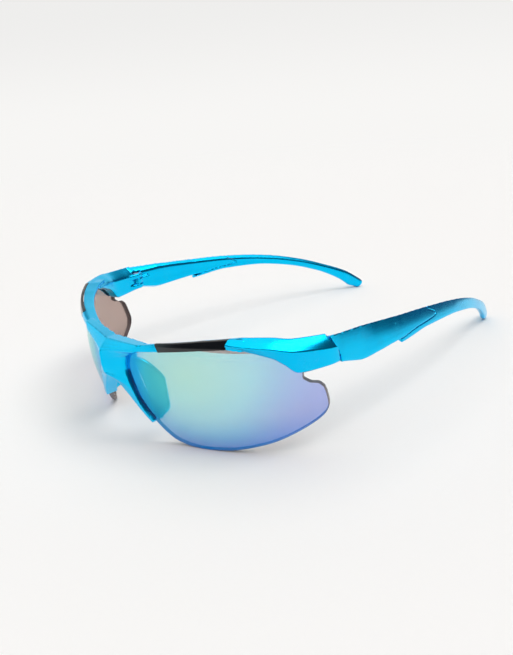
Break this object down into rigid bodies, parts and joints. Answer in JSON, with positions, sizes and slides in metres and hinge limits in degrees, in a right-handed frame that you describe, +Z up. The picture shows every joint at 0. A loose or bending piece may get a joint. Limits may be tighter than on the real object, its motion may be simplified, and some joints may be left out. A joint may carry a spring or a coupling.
{
  "type": "wraparound sport sunglasses",
  "caption": "Half-rim wraparound sunglasses with mirrored spherical lenses, gloss black brow inlays and folding temples with scarf-jointed tips.",
  "frame": {"origin": "on the surface it stands on, at the middle of the open sunglasses' box, on the mid-plane", "axes": "+X to the wearer's left, -Y is the front, +Y towards the temple tips, +Z up"},
  "size_m": [0.136, 0.1873, 0.0455],
  "materials": {
    "blue_lacquer": "metallic blue lacquer over moulded plastic, high gloss",
    "mirror_lens": "brown polycarbonate with a green to blue mirror coating",
    "gloss_black": "high gloss",
    "steel": "turned",
    "brass": "turned"
  },
  "bodies": {
    "front": {"front_frame": "blue_lacquer", "left_lens": "mirror_lens", "right_lens": "mirror_lens", "left_brow_inlay": "gloss_black", "right_brow_inlay": "gloss_black", "left_hinge_screw": "steel", "right_hinge_screw": "steel", "left_hinge_nut": "brass", "right_hinge_nut": "brass"},
    "left_temple_body": {"left_temple": "blue_lacquer", "left_tip": "blue_lacquer"},
    "right_temple_body": {"right_temple": "blue_lacquer", "right_tip": "blue_lacquer"}
  },
  "joints": [
    {"name": "left_temple_fold", "type": "hinge", "parent": "front", "child": "left_temple_body", "pos_m": [0.0629, -0.03918, 0.0355], "axis": [0, 0, 1], "range_deg": [0, 78]},
    {"name": "right_temple_fold", "type": "hinge", "parent": "front", "child": "right_temple_body", "pos_m": [-0.0629, -0.03918, 0.0355], "axis": [0, 0, -1], "range_deg": [0, 70]}
  ]
}
